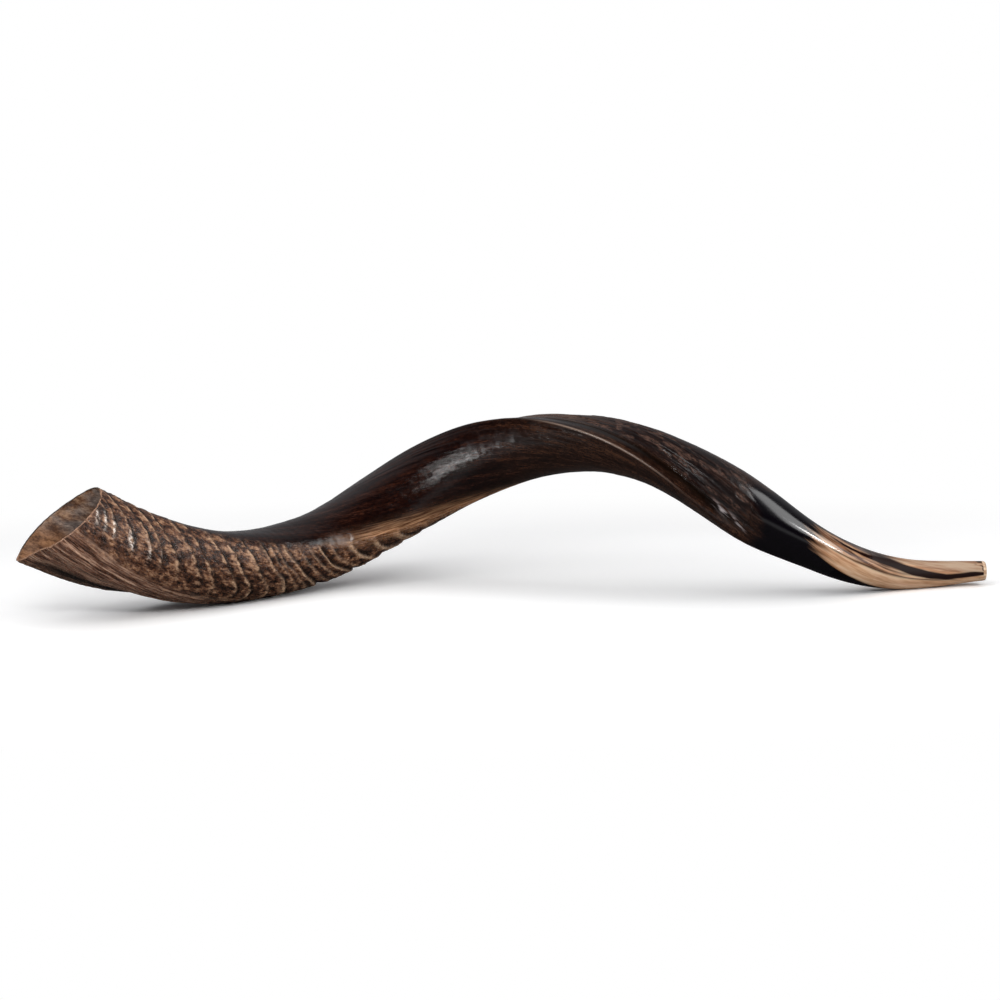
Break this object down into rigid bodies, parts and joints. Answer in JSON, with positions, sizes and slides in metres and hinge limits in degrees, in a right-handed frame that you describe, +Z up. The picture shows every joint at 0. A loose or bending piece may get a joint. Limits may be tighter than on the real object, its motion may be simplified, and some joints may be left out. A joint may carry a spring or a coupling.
{
  "type": "shofar",
  "caption": "Long trumpet of spiral antelope horn: slanted open bell, ridged raw base, keeled dark body and a pale drilled tip with an oval cup for the lips.",
  "frame": {"origin": "bottom centre of the bounding box, on the surface that the horn lies on", "axes": "+X from the bell to the cup, +Y away from the side that the bell opens towards, +Z up"},
  "size_m": [0.8803, 0.2381, 0.1613],
  "materials": {
    "raw_horn": "raw horn with light wear, satin where it bulges",
    "dark_horn": "scraped and half-polished dark brown horn with fine grain",
    "black_horn": "mirror-polished black horn",
    "pale_horn": "mirror-polished cream horn with dark streaks"
  },
  "bodies": {
    "root": {"bell_mouth": "raw_horn", "ridged_base": "raw_horn", "keeled_body": "dark_horn", "polished_neck": "black_horn", "mouthpiece_tip": "pale_horn"}
  },
  "joints": []
}
